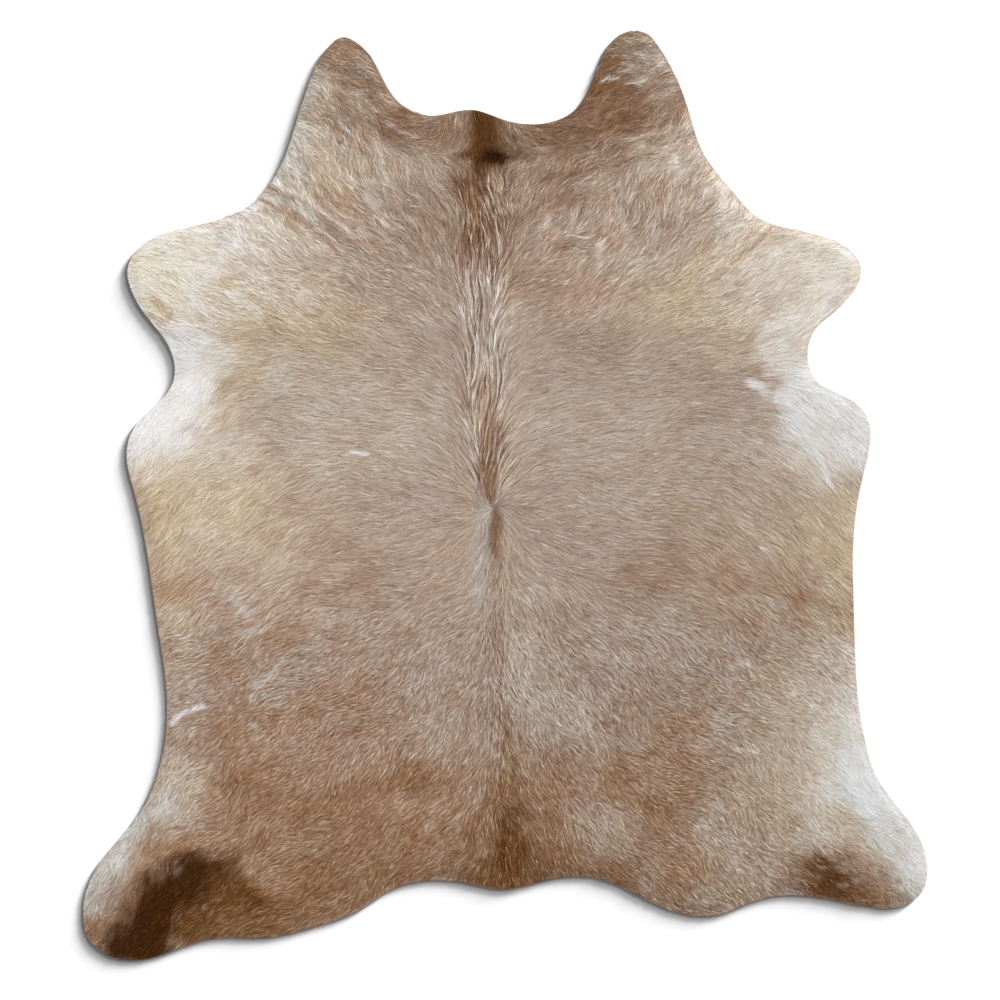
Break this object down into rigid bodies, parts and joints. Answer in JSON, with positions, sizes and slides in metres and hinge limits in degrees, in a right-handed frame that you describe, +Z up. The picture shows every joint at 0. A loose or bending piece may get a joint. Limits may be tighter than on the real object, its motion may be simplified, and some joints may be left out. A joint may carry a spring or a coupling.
{
  "type": "hair-on cattle hide rug",
  "caption": "Hair-on cattle hide laid flat as a rug: one soft sheet cut to the animal's outline, with neck, legs and rump, coat side up.",
  "frame": {"origin": "on the ground, under the middle of the hide's box", "axes": "+Z up, out of the coat; +Y along the back towards the neck; +X towards the right-hand side of the hide as seen from above with the neck away from the viewer"},
  "size_m": [2, 2.2, 0.009],
  "materials": {
    "hair_on_leather": "short, smooth, flat-lying hair in taupe and tan with cream edges and dark brown patches on the hind legs; pale buff suede underneath"
  },
  "bodies": {
    "root": {"hide": "hair_on_leather"}
  },
  "joints": []
}
